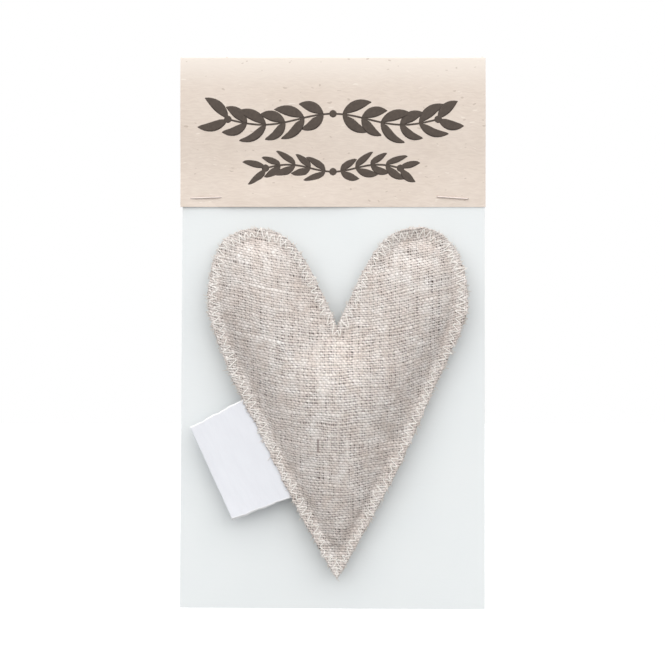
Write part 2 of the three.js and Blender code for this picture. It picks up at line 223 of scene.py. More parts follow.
def bezier(corners, steps):
    """Points on a curve with four control points, each weighted by its Bernstein polynomial."""
    t = np.linspace(0, 1, steps)[:, None]
    a, b, c, d = np.asarray(corners, float)
    return (1 - t) ** 3 * a + 3 * (1 - t) ** 2 * t * b + 3 * (1 - t) * t**2 * c + t**3 * d


def half_outline():
    """The right half of the cut edge, from the cleft round the lobe to the tip."""
    corners = np.array(outline_shares, float)
    corners = corners * np.where(corners > 0, [half_width, lobe_rise], [half_width, heart_drop])
    return joined(*(bezier(four, curve_steps)[(k > 0):] for k, four in enumerate(corners)))


# %% The cut edge and the seam
seam_margin = 5.0
loop_points = 336
cleft_fan_steps = 12


def circle(turn):
    """Points on a circle of radius one: the cosine and the sine."""
    return beside(np.cos(turn), np.sin(turn))


def resampled(line, count):
    """Points spaced evenly by length along a line of points."""
    run = joined([0], np.cumsum(np.linalg.norm(np.diff(line, axis=0), axis=1)))
    places = np.linspace(0, run[-1], count)
    return beside(*(np.interp(places, run, values) for values in line.T))


def heart_loop(inset):
    """The whole loop at an inset: points moved square to the edge, and the left half mirrored."""
    line = half_outline()
    along = unit(np.gradient(line, axis=0))
    inward = beside(along[:, 1], -along[:, 0])
    half = line + inset * inward
    if inset > 0:
        first = math.atan2(inward[0, 1], inward[0, 0])
        turn = np.linspace(-np.pi / 2, first, cleft_fan_steps)[:-1]
        fan = inset * circle(turn)
        crossing = np.argmax((half[:, 0] < 0) & (line[:, 1] < -heart_drop / 2))
        before, after = half[crossing - 1], half[crossing]
        meeting = before + (after - before) * before[0] / (before[0] - after[0])
        half = joined(fan, half[:crossing], [meeting])
    right = resampled(half, loop_points // 2 + 1)
    left = (right * [-1, 1])[-2:0:-1]
    return joined(right, left)


edge_loop = heart_loop(0)
seam_loop = heart_loop(seam_margin)
loop_shares = np.arange(loop_points) / loop_points
edge_length = np.linalg.norm(np.roll(edge_loop, -1, axis=0) - edge_loop, axis=1).sum()
print("cut edge", round(edge_length, 1), "mm, heart axis at x", round(heart_x, 2), "mm")

# %% [markdown]
# ## The seam margin
#
# The margin of a sewn heart is never flat: it waves a little, because the filling draws the seam
# in while the cut edge keeps its length. Waves are sums of sines with random phases, which join
# up after a full turn. At the top of the right lobe the edge curls forward, and where the ribbon
# lies between the panels they part to let it in.

# %% Waves, the curl and the parting
label_share, label_width = 0.6375, 42.0
ribbon_thickness = 0.15
panel_gap = 0.2
curl_share, curl_spread, curl_height = 0.118, 0.027, 3.0
parting_run, parting_room = 12.0, 1.6


def ripple(share, waves, size, seed):
    """A wave round the heart: sines with whole numbers of turns, random phases and equal weight."""
    random = np.random.default_rng(seed)
    turns = np.arange(*waves)
    phases = random.uniform(0, 2 * np.pi, len(turns))
    angle = 2 * np.pi * np.asarray(share)[..., None] * turns + phases
    return size * np.sin(angle).sum(-1) * np.sqrt(2 / len(turns))


def smooth(x):
    """From 0 to 1 as x does, level at both ends."""
    x = np.clip(x, 0, 1)
    return x * x * (3 - 2 * x)


def around(loop, share):
    """The place on a closed loop at a share of the way round."""
    at = np.arange(len(loop)) / len(loop)
    return beside(*(np.interp(share, at, values, period=1) for values in loop.T))


def parted(share):
    """1 where the ribbon holds the panels apart, fading to 0 beside it."""
    away = np.abs(share - label_share) * edge_length - label_width / 2
    return 1 - smooth(away / parting_run)


def half_gap(share):
    """Half the gap between the panels, which opens for the ribbon's two plies."""
    return panel_gap / 2 + parted(share) * ribbon_thickness * parting_room


def curl(share):
    """How far the cut edge curls forward: most at one place, fading on both sides."""
    return curl_height * np.exp(-(((share - curl_share) / curl_spread) ** 2))


# %% Places on the seam margin
linen_thickness = 0.6


def on_margin(share, inward, front=True, lift=0.0):
    """Places (x, z, forward) on the outer face of one panel's margin.

    share goes round the heart and inward from the cut edge (0) to the seam (1). forward counts
    from the seam plane, and lift is height over the cloth. The cut wavers by three sums of waves,
    of which each panel has two of its own, and the margin's height by two that both share.
    """
    share, inward = np.broadcast_arrays(share, inward)
    cut, seam = around(edge_loop, share), around(seam_loop, share)
    outward = unit(cut - seam)
    waver = ripple(share, (9, 60), 0.16, 3 if front else 4) + ripple(share, (2, 9), 0.3, 5)
    waver = waver + ripple(share, (70, 130), 0.18, 8 if front else 9)
    flat = cut + (seam - cut) * inward[..., None] + outward * (waver * (1 - inward))[..., None]
    loose = np.clip(1 - inward, 0, 1)
    wave = ripple(share, (2, 8), 0.45, 6) * (0.35 + 0.65 * loose)
    wave = wave + ripple(share, (30, 70), 0.13, 7) * loose
    forward = wave * (1 - parted(share)) + curl(share) * loose**1.5
    outer = half_gap(share) + linen_thickness + lift
    forward = forward + (outer if front else -outer)
    return beside(flat[..., 0], flat[..., 1], forward)


def in_frame(places):
    """Places (x, z, forward) of the heart as points of the frame, in metres."""
    x, z, forward = np.moveaxis(np.asarray(places), -1, 0)
    return beside(x + heart_x, seam_y - forward, z + cleft_z) * mm


# %% [markdown]
# ## The two linen panels
#
# A filled panel could be a smooth dome, but cloth does not stretch like rubber: cut flat and drawn
# in along its seam, it buckles into small creases that run in from the stitching. So each panel
# is simulated. It starts wider and flatter than the sewn heart, its pinned seam is drawn in to the
# sewn size, and pressure stands for the filling. The triangles come from a Delaunay net over
# evenly spaced points, so that no direction is stiffer than another.

# %% The net of a panel
net_pitch = 2.0


def far_inside(points, loop, distance):
    """Which points lie inside a loop of points, and further from it than a distance."""
    start, end = loop, np.roll(loop, -1, axis=0)
    x, z = points[:, None, 0], points[:, None, 1]
    spans = (start[:, 1] > z) != (end[:, 1] > z)
    rise = np.where(end[:, 1] == start[:, 1], 1, end[:, 1] - start[:, 1])
    crossing = start[:, 0] + (z - start[:, 1]) * (end[:, 0] - start[:, 0]) / rise
    inside = (spans & (x < crossing)).sum(1) % 2 == 1
    return inside & (np.hypot(x - start[:, 0], z - start[:, 1]).min(1) > distance)


def net_inside(loop, pitch):
    """A loop's own points, then those of a triangular grid inside it, and their triangles."""
    low, high = loop.min(0), loop.max(0)
    row_pitch = pitch * math.sqrt(3) / 2
    row_count = int((high[1] - low[1]) / row_pitch)
    column, row = np.meshgrid(np.arange(low[0], high[0], pitch), np.arange(row_count))
    x, z = column + (row % 2) * pitch / 2, high[1] - row * row_pitch
    grid = beside(x.ravel(), z.ravel())
    grid = grid[far_inside(grid, loop, 0.6 * pitch)]
    points = joined(loop, grid)
    ring = list(range(len(loop)))
    made = delaunay_2d_cdt([Vector(p) for p in points.tolist()], [], [ring], 1, 1e-6)
    origin = np.array([sources[0] for sources in made[3]])
    return points, origin[np.array(made[2])]


# %% The smooth swell
front_crown = 13.0
back_crown = 6.0
swell_power = 0.65


def swell(points):
    """The share of the crown at each point, by its room to the seam.

    Each short length of seam counts by the inverse cube of its distance. Beside one long straight
    seam the room is the plain distance, and in a corner it is less.
    """
    middles = (seam_loop + np.roll(seam_loop, -1, axis=0)) / 2
    lengths = np.linalg.norm(np.roll(seam_loop, -1, axis=0) - seam_loop, axis=1)
    distance = np.linalg.norm(points[:, None] - middles[None], axis=2)
    room = np.sqrt(2 / (lengths / distance**3).sum(1))
    return (room / room.max()) ** swell_power


def swollen(side, crown):
    """Heights of the smooth swell's outer face over the seam plane."""
    return side * (panel_gap / 2 + linen_thickness + crown * net_swell)


net_points, net_faces = net_inside(seam_loop, net_pitch)
net_swell = swell(net_points)
net_swell[:loop_points] = 0
print("net", len(net_points), "points,", len(net_faces), "triangles")

# %% Relaxing a net
relaxing_rounds = 2


def relaxed(places, faces):
    """Each point moved halfway to the mean of its neighbours, a few rounds over, the seam kept."""
    links = joined(faces[:, [0, 1]], faces[:, [1, 2]], faces[:, [2, 0]])
    links = np.unique(np.sort(links, axis=1), axis=0)
    neighbours = np.bincount(links.ravel(), minlength=len(places))[:, None]
    for _ in range(relaxing_rounds):
        total = np.zeros_like(places)
        np.add.at(total, links[:, 0], places[links[:, 1]])
        np.add.at(total, links[:, 1], places[links[:, 0]])
        moved = (places + total / neighbours) / 2
        moved[:loop_points] = places[:loop_points]
        places = moved
    return places


# %% The filled panels, simulated as cloth
cut_slack = {"front": (1.035, 1.038, 0.65), "back": (1.02, 1.02, 0.8)}
filling_pressure = {"front": 4.0, "back": 2.0}
simulation_scale = 0.04
drawing_frames = 24
simulated_frames = 60
cloth_settings = {
    "quality": 8,
    "mass": 0.1,
    "tension_stiffness": 20,
    "compression_stiffness": 8,
    "shear_stiffness": 4,
    "bending_stiffness": 15,
    "vertex_group_mass": "seam",
    "use_pressure": True,
}


def filled_panel(front):
    """Places of a panel's outer face once its seam is drawn in and the filling has pushed it out.

    The panel starts as its cut, slightly larger and flatter than the sewn heart, and its pinned
    seam moves to the sewn place over the first frames. The cloth works at 40 times real size,
    where the solver's own limits do not show.
    """
    panel_name, side = ("front", 1) if front else ("back", -1)
    height = swollen(side, front_crown if front else back_crown)
    sewn = beside(*net_points.T, height)
    sewn[:loop_points] = on_margin(loop_shares, 1.0, front)
    flat = sewn * cut_slack[panel_name]
    faces = net_faces if front else net_faces[:, ::-1]
    panel = new_object("panel", flat * simulation_scale, faces)
    panel.shape_key_add(name="flat")
    drawn_in = panel.shape_key_add(name="sewn")
    drawn_in.data.foreach_set("co", (sewn * simulation_scale).ravel())
    for value, moment in ((0, 1), (1, drawing_frames)):
        drawn_in.value = value
        drawn_in.keyframe_insert("value", frame=moment)
    pinned = panel.vertex_groups.new(name="seam")
    pinned.add(list(range(loop_points)), 1.0, "REPLACE")
    cloth = panel.modifiers.new("cloth", "CLOTH")
    for name, value in cloth_settings.items():
        setattr(cloth.settings, name, value)
    cloth.settings.uniform_pressure_force = filling_pressure[panel_name]
    cloth.settings.effector_weights.gravity = 0
    cloth.collision_settings.use_collision = False
    cloth.point_cache.frame_end = simulated_frames
    for moment in range(1, simulated_frames + 1):
        bpy.context.scene.frame_set(moment)
    shown = panel.evaluated_get(bpy.context.evaluated_depsgraph_get()).to_mesh()
    places = np.zeros(len(net_points) * 3)
    shown.vertices.foreach_get("co", places)
    bpy.context.scene.frame_set(1)
    bpy.data.objects.remove(panel)
    return relaxed(places.reshape(-1, 3) / simulation_scale, net_faces)


front_places = filled_panel(front=True)
back_places = filled_panel(front=False)
print("crowns", front_places[:, 2].max().round(2), back_places[:, 2].min().round(2), "mm")

# %% [markdown]
# The solver's cloth is limp, and a stiff linen over a firm filling keeps only a trace of its
# creases, so each panel is eased towards the smooth swell. The filling presses against the card
# behind it, so the back panel flattens where it meets the glue and the card. Small puckers run in
# from the seam where each stitch holds the cloth. The front has soft hollows as well: a fold on its
# lower right, and dips beside the seam where the filling has settled away from it.

# %% Easing and hollows
kept_from_solver = 0.3
easing_swell, hollow_swell = 0.15, 0.3
# hollows of the front panel: middle (x, z), half length, half width, turn from upright, depth
hollows = (
    ((20.0, -44.0), 7.0, 3.2, 40.0, 2.2),
    ((32.5, -25.0), 18.0, 5.0, -25.0, 2.1),
    ((16.0, -57.0), 9.0, 3.0, -25.0, 0.7),
    ((-33.0, -24.0), 20.0, 4.5, 26.0, 1.4),
    ((31.0, 27.5), 9.0, 2.4, 82.0, 1.6),
)


def eased(places, side, crown):
    """Each height moved most of the way to the smooth swell's, and less beside the seam."""
    easing = (1 - kept_from_solver) * np.minimum(net_swell / easing_swell, 1)
    places = places.copy()
    places[:, 2] += easing * (swollen(side, crown) - places[:, 2])
    return places


def hollowed(places):
    """The front panel with its hollows, each a Gaussian of its own length, width and depth."""
    places = places.copy()
    for (x, z), half_length, hollow_width, turn, depth in hollows:
        sine, cosine = math.sin(math.radians(turn)), math.cos(math.radians(turn))
        from_x, from_z = places[:, 0] - x, places[:, 1] - z
        along, aside = -sine * from_x + cosine * from_z, cosine * from_x + sine * from_z
        near = np.exp(-((along / half_length) ** 2) - (aside / hollow_width) ** 2)
        places[:, 2] -= depth * near * np.minimum(net_swell / hollow_swell, 1)
    return places


# %% Puckers, and the flattened back
back_limit, back_ease = 6.0, 1.6
pucker_height, pucker_start, pucker_reach = 0.28, 1.5, 3.2


def flattened(depth):
    """Depth behind the seam, unchanged until near the limit and then levelling off towards it."""
    start = back_limit - back_ease
    levelled = back_limit - back_ease * np.exp(-(depth - start) / back_ease)
    return np.where(depth < start, depth, levelled)


def puckered(places, side):
    """Small waves along the seam that fade away from it."""
    apart = np.linalg.norm(net_points[:, None] - seam_loop[None], axis=2)
    share, reach = apart.argmin(1) / loop_points, apart.min(1)
    wave = ripple(share, (45, 95), 1.0, 11) * (0.6 + 0.4 * ripple(share, (3, 9), 1.0, 12))
    fade = np.minimum(reach / pucker_start, 1) * np.exp(-reach / pucker_reach)
    places = places.copy()
    places[:, 2] += side * pucker_height * wave * fade
    return places


front_places = puckered(hollowed(eased(front_places, 1, front_crown)), 1)
back_places = puckered(eased(back_places, -1, back_crown), -1)
back_places[:, 2] = -flattened(-back_places[:, 2])
print("back flattened to", back_places[:, 2].min().round(2), "mm")

# %% [markdown]
# ## Node trees
#
# Each finish is a few nodes. An output of a node is kept here as a wire, and sums of wires are
# written as plain sums: each + or * adds a Math node to the tree. A few functions add the other
# kinds of node. A colour is written as it looks on a screen, from 0 to 255, and turned into the
# linear values that Blender computes with.

# %% Wires and nodes
class Wire:
    """An output of a node. A sum, difference, product or quotient of wires is a wire."""

    def __init__(self, tree, socket):
        self.tree, self.socket = tree, socket

    def __add__(self, other):
        return calc("ADD", self, other)

    def __sub__(self, other):
        return calc("SUBTRACT", self, other)

    def __rsub__(self, other):
        return calc("SUBTRACT", other, self)

    def __mul__(self, other):
        return calc("MULTIPLY", self, other)

    def __truediv__(self, other):
        return calc("DIVIDE", self, other)


class Outputs:
    """A node's outputs, each as a wire, by name or by number."""

    def __init__(self, tree, sockets):
        self.tree, self.sockets = tree, sockets

    def __getitem__(self, key):
        return Wire(self.tree, self.sockets[key])


def add(tree, kind, inputs=None, **settings):
    """A shader node with its settings, and inputs given as numbers, colours or wires."""
    made = tree.nodes.new("ShaderNode" + kind)
    for key, value in settings.items():
        setattr(made, key, value)
    for key, value in (inputs or {}).items():
        if isinstance(value, Wire):
            tree.links.new(value.socket, made.inputs[key])
        else:
            made.inputs[key].default_value = value
    return Outputs(tree, made.outputs)


# %% Sums, noise and ranges
def calc(operation, *values):
    """The result of a Math node."""
    tree = next(value.tree for value in values if isinstance(value, Wire))
    return add(tree, "Math", dict(enumerate(values)), operation=operation)[0]


def with_vectors(operation, first, second):
    """The result of a Vector Math node."""
    return add(first.tree, "VectorMath", {0: first, 1: second}, operation=operation)[0]


def scaled(vector, *by):
    """A vector with each part multiplied by its own number, or all by the same one."""
    return with_vectors("MULTIPLY", vector, by if len(by) == 3 else by * 3)


def parts(vector):
    """The three parts of a vector."""
    return add(vector.tree, "SeparateXYZ", {0: vector})


def noise(at, scale=1.0, detail=2.0, output="Fac"):
    """Noise from 0 to 1."""
    inputs = {"Vector": at, "Scale": scale, "Detail": detail}
    return add(at.tree, "TexNoise", inputs)[output]


def ranged(value, low, high, to_low=0.0, to_high=1.0):
    """A value carried smoothly from one range to another, and held at its ends."""
    inputs = {0: value, 1: low, 2: high, 3: to_low, 4: to_high}
    return add(value.tree, "MapRange", inputs, interpolation_type="SMOOTHSTEP")[0]


# %% Colours
def colour(seen):
    """A colour as seen on a screen, as the linear numbers that nodes take."""
    seen = np.array(seen) / 255
    linear = np.where(seen <= 0.04045, seen / 12.92, ((seen + 0.055) / 1.055) ** 2.4)
    return (*linear.tolist(), 1.0)


def mixed(factor, *colours, blend_type="MIX"):
    """Two colours mixed, each a wire or as seen on a screen."""
    first, second = (it if isinstance(it, Wire) else colour(it) for it in colours)
    inputs = {0: factor, 6: first, 7: second}
    return add(factor.tree, "Mix", inputs, data_type="RGBA", blend_type=blend_type)[2]


# %% Groups
def group(name, vector_name, *value_names):
    """A node group that makes values from one vector: its tree, the vector, and its output node."""
    tree = bpy.data.node_groups.new(name, "ShaderNodeTree")
    tree.interface.new_socket(vector_name, in_out="INPUT", socket_type="NodeSocketVector")
    for value_name in value_names:
        tree.interface.new_socket(value_name, in_out="OUTPUT", socket_type="NodeSocketFloat")
    start, end = tree.nodes.new("NodeGroupInput"), tree.nodes.new("NodeGroupOutput")
    return tree, Wire(tree, start.outputs[0]), end


def feed(node, **wires):
    """Each wire linked to the node's input of that name, in which _ stands for a space."""
    for name, wire in wires.items():
        wire.tree.links.new(wire.socket, node.inputs[name.replace("_", " ")])


# %% Materials
def material(name, **shader):
    """A new material, its tree and its Principled shader with some sockets set."""
    made = bpy.data.materials.new(name)
    made.use_nodes = True
    principled = made.node_tree.nodes["Principled BSDF"]
    for key, value in shader.items():
        principled.inputs[key.replace("_", " ")].default_value = value
    return made, made.node_tree, principled


def object_place(tree):
    """The Object coordinates, in metres."""
    return add(tree, "TexCoord")["Object"]


def mottled(name, first, second, scale, detail=2.0, **shader):
    """A material whose colour wanders between two, with its tree and its Principled shader."""
    made, tree, principled = material(name, **shader)
    tone = noise(object_place(tree), scale, detail)
    feed(principled, Base_Color=mixed(tone, first, second))
    return made, tree, principled


def bump(principled, height, distance, strength=1.0):
    """The Normal socket fed by a height, whose full range stands for a distance in metres."""
    inputs = {"Height": height, "Distance": distance, "Strength": strength}
    feed(principled, Normal=add(height.tree, "Bump", inputs)[0])


# %% [markdown]
# ## Plain weave
#
# Linen of this kind is the simplest cloth there is: each weft yarn passes over one warp yarn and
# under the next. An image of it would repeat. Computed weave does not: a yarn is an integer, the
# place across it is a fraction, and cosines carry it over and under its neighbours. Flax yarn is
# uneven, so each yarn has its own noise for width and tone, with thick slubs here and there. The
# weft is the slacker set and lies on top in light, flat beads. The dark dots between the rows are
# the small gaps beside each warp yarn. Every gap is open by its own amount, every second one more
# than the next, and whole columns of gaps more or less than their neighbours.

# %% The weave group
weave, cloth, weave_end = group("Plain weave", "Cloth", "Height", "Tone", "Hole")
drift_scale, drift_yarns = 0.045, 3.0
crowding = 1.3
slub_width, slub_tone = 0.1, 0.22
warp_widths, weft_widths = (0.32, 0.48), (0.36, 0.52)

drift = with_vectors("SUBTRACT", noise(cloth, drift_scale, output="Color"), (0.5, 0.5, 0.5))
across, up, _ = parts(with_vectors("ADD", cloth, scaled(drift, drift_yarns)))


def yarn_noise(place, along, place_scale, along_scale, seed=0.0, detail=1.0):
    """Noise with one scale across a set of yarns and another along them."""
    inputs = {0: place * place_scale, 1: along * along_scale, 2: seed}
    return noise(add(weave, "CombineXYZ", inputs)[0], detail=detail)


def crowded(place, along):
    """A yarn coordinate with uneven spacing: noise that changes quickly across, slowly along."""
    return place + yarn_noise(place, along, 0.6, 0.05) * crowding


across, up = crowded(across, up), crowded(up, across)


def yarn(place, along, seed, thin, thick):
    """One set of yarns: its number, its round profile and its tone.

    The profile is the square root of 1 − (distance from the yarn's middle ÷ its half width)².
    """
    number = calc("FLOOR", place)
    uneven = yarn_noise(number, along, 7.31, 0.3, seed, 3.0)
    slub = ranged(yarn_noise(number, along, 3.77, 0.03, seed + 20), 0.68, 0.78)
    fine = yarn_noise(place, along, 3.0, 0.9, seed + 9, 2.0)
    width = ranged(uneven, 0.25, 0.75, thin, thick) + slub * slub_width
    ratio = (calc("FRACT", place) - 0.5) / width
    profile = calc("SQRT", calc("MAXIMUM", 1.0 - ratio * ratio, 0.0))
    return number, profile, uneven * 0.4 + fine * 0.6 + slub * slub_tone


# %% Over and under
warp_level, weft_level, wave_height = 0.54, 0.85, 0.24
warp_darker, warp_shade = 0.1, 0.08
warp_number, warp_profile, warp_tone = yarn(across, up, 1.5, *warp_widths)
weft_number, weft_profile, weft_tone = yarn(up, across, 4.5, *weft_widths)


def passing(along, other_number, profile, wave, level):
    """The height of a yarn that a cosine carries over and under the others."""
    turn = (along - 0.5 + other_number) * math.pi
    return profile * (calc("COSINE", turn) * wave + level)


warp_height = passing(up, warp_number, warp_profile, wave_height, warp_level)
weft_height = passing(across, weft_number, weft_profile, -wave_height, weft_level)
top = calc("MAXIMUM", warp_height, weft_height)
on_top = calc("GREATER_THAN", warp_height, weft_height)
# The warp's tone is lowered where it lies on top: partly a real difference between warp and weft
# yarn, partly painted shade under the weft beads.
tone = add(weave, "Mix", {0: on_top, 2: weft_tone, 3: warp_tone - warp_darker})[0]

# %% Gaps between the yarns
gap_number, slit_number = calc("ROUND", up), calc("ROUND", across)
gap = add(weave, "CombineXYZ", {0: slit_number, 1: gap_number})[0]
random_share = add(weave, "TexWhiteNoise", {"Vector": gap}, noise_dimensions="2D")["Value"]
second = calc("PINGPONG", slit_number + gap_number, 1.0)
columns = yarn_noise(slit_number, up, 1.3, 0.06, 31.0)
openness = ranged(random_share, 0.0, 1.0, 0.6, 1.2) * ranged(second, 0.0, 1.0, 0.72, 1.0)
openness = openness * ranged(columns, 0.35, 0.65, 0.5, 1.2)
# Painted shade: the gaps between the yarns, and the warp where it lies on top, are darkened in the
# colour for the shade that falls in them.
between_warps = ranged(warp_profile, 1.0, 0.5, 0.35, 1.0)
hole = ranged(top, 0.85, 0.35) * (between_warps * openness)
feed(weave_end, Height=top, Tone=tone, Hole=calc("MAXIMUM", hole, on_top * warp_shade))
print("weave group with", len(weave.nodes), "nodes")

# %% [markdown]
# ## Linen
#
# The undyed yarn runs from a warm white to a greyish beige. Between the yarns the eye meets the
# shaded inside, so the holes are brown-grey. Towards the cut edge the yarns lie loose, so they look
# lighter and their gaps close. Linen has a slight sheen, and a broad one, because its fibres stand
# in all directions. Two faults of the yarn are placed on the front: a long pale slub across
# the left lobe, and a short dark bit of stalk below the middle.

# %% The linen material
warp_pitch, weft_pitch = 0.82, 1.03
weft_sag = 0.0036


def on_cloth(flat):
    """Cloth coordinates in yarns: across counts warp yarns, up counts the sagging weft yarns."""
    x, z = np.moveaxis(np.asarray(flat), -1, 0)
    return beside(x / warp_pitch, (z - weft_sag * x**2) / weft_pitch)


def patch(place, middle, half_size):
    """A soft-edged mask round a middle: the product of a fade across and a fade up, in yarns."""
    fades = []
    for at, centre, half in zip(parts(place), middle, half_size):
        fades.append(ranged(calc("ABSOLUTE", at - centre), half * 0.5, half, 1.0, 0.0))
    return fades[0] * fades[1]


slub_middle, slub_half = (-36.6, 11.9), (20.0, 0.62)
stalk_middle, stalk_half = (-8.8, -45.1), (0.65, 3.6)
stalk_strength = 0.6
back_shift = 200

linen, tree, principled = material(
    "natural linen", Roughness=0.85, Sheen_Weight=0.12, Sheen_Roughness=0.6
)
cloth_at = add(tree, "UVMap", uv_map="cloth")[0]
woven = add(tree, "Group", {"Cloth": cloth_at}, node_tree=weave)
loose = add(tree, "Attribute", attribute_name="loose")["Fac"]
tint = ranged(woven["Tone"], 0.25, 0.75)
yarns = mixed(tint, (215, 206, 200), (253, 249, 246))
for cloud_scale, cloud_strength in ((0.05, 0.35), (0.22, 0.5)):
    clouds = ranged(noise(cloth_at, cloud_scale), 0.3, 0.7, 0.0, cloud_strength)
    yarns = mixed(clouds, yarns, (232, 222, 216), blend_type="MULTIPLY")
yarns = mixed(loose * 0.15, yarns, (250, 245, 241))
slub = patch(cloth_at, slub_middle, slub_half) * tint
# Painted shade: the linen's colour is mixed towards a dark brown-grey in the gaps between the yarns
# and on the warp under the weft.
depth = woven["Hole"] * ranged(loose, 0.0, 1.0, 1.0, 0.95) * (1.0 - slub)
linen_tone = mixed(depth, mixed(slub, yarns, (246, 240, 235)), (64, 50, 44))
stalk = patch(cloth_at, stalk_middle, stalk_half) * stalk_strength
feed(principled, Base_Color=mixed(stalk, linen_tone, (112, 92, 84)))
bump(principled, woven["Height"], 0.0004, 0.8)

# %% [markdown]
# ## Panels of linen with a seam margin
#
# A panel is one sheet: the rows of its margin, then the simulated net. A subdivision rounds it and
# Solidify gives it the cloth's thickness, inwards, so that the outer face stays where the seam and
# threads expect it.

# %% Front and back panels
margin_rows = 6


def panel_piece(name, places, front):
    """The margin's rows and the filled net, as one piece of cloth."""
    share, inward = np.meshgrid(loop_shares, np.arange(margin_rows) / margin_rows)
    margin = on_margin(share, inward, front).reshape(-1, 3)
    points = joined(margin, places)
    flat = joined(margin[:, :2], net_points)
    strip = halved(grid_faces(margin_rows + 1, loop_points, around_columns=True))
    faces = joined(strip[:, ::-1], net_faces + len(margin))
    cloth_place = on_cloth(flat) + (0 if front else back_shift)
    faces = faces if front else faces[:, ::-1]
    panel = new_object(name, in_frame(points), faces, linen, cloth_place)
    loose = joined(1 - inward.ravel(), np.zeros(len(places)))
    panel.data.attributes.new("loose", "FLOAT", "POINT").data.foreach_set("value", loose)
    rounding = panel.modifiers.new("rounding", "SUBSURF")
    rounding.levels = rounding.render_levels = 1
    thicken(panel, linen_thickness, -1)
    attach(panel, "sachet")
    print(name, len(points), "points")
    return panel


linen_front = panel_piece("linen_front_panel", front_places, True)
linen_back = panel_piece("linen_back_panel", back_places, False)
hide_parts("linen_front")
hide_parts("linen_back")

# %% [markdown]
# ## Lavender filling
#
# Loose dried buds fill the heart. Nobody sees them until a seam opens, so one lumpy body stands
# for them. It is the space between the panels, drawn in a little, with noise for the buds.

# %% The filling
filling_gap = 0.5
bud_height = 0.35
least_half = 0.12
rim_inward = 1.2


def filling_points():
    """Top and bottom of the filling: the panels' places less cloth and gap, lumpy, on one rim."""
    random = np.random.default_rng(21)
    room = linen_thickness + filling_gap
    top, bottom = front_places.copy(), back_places.copy()
    lumps = room + random.uniform(0, bud_height, (2, len(net_points)))
    top[:, 2] -= lumps[0]
    bottom[:, 2] += lumps[1]
    middle = (top[:, 2] + bottom[:, 2]) / 2
    top[:, 2] = np.maximum(top[:, 2], middle + least_half)
    bottom[:, 2] = np.minimum(bottom[:, 2], middle - least_half)
    rim = on_margin(loop_shares, rim_inward)
    rim[:, 2] = (front_places[:loop_points, 2] + back_places[:loop_points, 2]) / 2
    top[:loop_points] = bottom[:loop_points] = rim
    return top, bottom


filling_top, filling_bottom = filling_points()
inner = np.arange(len(net_points))
inner[loop_points:] += len(net_points) - loop_points
lavender_points = joined(filling_top, filling_bottom[loop_points:])
lavender_faces = joined(net_faces, inner[net_faces][:, ::-1])

lavender, tree, principled = material("dried lavender", Roughness=0.9)
place = object_place(tree)
buds = add(tree, "TexVoronoi", {"Vector": place, "Scale": 420.0})["Distance"]
bud_tone = mixed(noise(place, 300.0), (96, 84, 128), (150, 146, 120))
# Painted shade: each bud is darker towards the edge of its cell, for the shade between the buds.
feed(principled, Base_Color=mixed(ranged(buds, 0.2, 0.7), bud_tone, (70, 62, 80)))
bump(principled, 1.0 - buds, 0.0015)

filling = new_object("lavender_buds", in_frame(lavender_points), lavender_faces, lavender)
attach(filling, "sachet")
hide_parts("lavender_filling")
print("filling", len(lavender_points), "points")

# %% [markdown]
# ## Zigzag stitching
#
# A sewing machine closes the heart with a zigzag. The needle thread shows in front, the bobbin
# thread at the back, and both go through the same holes, so both use the same places. Each stroke
# dives into the cloth at its ends and lies bowed over it between them. The whole seam is one
# closed tube, because the machine never cuts its thread on the way round.

# %% Places of the stitches
stitch_pitch = 3.1
stitch_near, stitch_far = 0.55, 3.8
thread_radius = 0.19
stroke_points = 7
stroke_top, stroke_dive = 0.7, 2.4
hole_jitter, inset_jitter = 0.4, 0.6
cleft_fan = 9.0
share_step = 0.002


def squared(share, inset):
    """Share and inset of points that lie square to the cut edge, at a distance of inset.

    The lines of the margin slant near the tip and the cleft, so a share moves by that slant, as
    measured along the edge. Near the tip an inset is as short as the way to the middle.
    """
    ahead = around(edge_loop, share + share_step) - around(edge_loop, share - share_step)
    across = around(seam_loop, share) - around(edge_loop, share)
    from_cleft = np.abs((share + 0.5) % 1 - 0.5) * edge_length
    slant = (across * unit(ahead)).sum(-1) * smooth(from_cleft / cleft_fan)
    to_tip = np.abs(share % 1 - 0.5) * edge_length
    inset = np.minimum(inset, to_tip / np.maximum(np.abs(slant), 1e-6))
    return share - slant * inset / edge_length, inset


def zigzag():
    """Share, inset and lift of each point along the seam's strokes.

    Odd strokes run inwards and even ones outwards. Lift is highest in a stroke's middle and falls
    with the fourth power of the way to its ends, where the needle's holes are.
    """
    random = np.random.default_rng(31)
    holes = 2 * round(edge_length / stitch_pitch)
    share = (np.arange(holes) + random.uniform(-hole_jitter, hole_jitter, holes)) / holes
    inset = np.where(np.arange(holes) % 2 == 0, stitch_near, stitch_far)
    inset = (inset + random.normal(0, inset_jitter, holes)) / seam_margin
    t = np.arange(stroke_points) / stroke_points
    next_share = np.append(share[1:], share[0] + 1)
    next_inset = np.roll(inset, -1)
    shares = share[:, None] + (next_share - share)[:, None] * t
    insets = inset[:, None] + (next_inset - inset)[:, None] * t
    lift = thread_radius * (stroke_top - stroke_dive * (2 * t - 1) ** 4)
    return *squared(shares.ravel(), insets.ravel()), np.tile(lift, holes)


# %% Both threads
cream, light_cream = (243, 238, 231), (255, 253, 250)
thread_shader = {"Roughness": 0.5, "Sheen_Weight": 0.1}
thread = mottled("cream thread", cream, light_cream, 2500.0, 1.0, **thread_shader)[0]


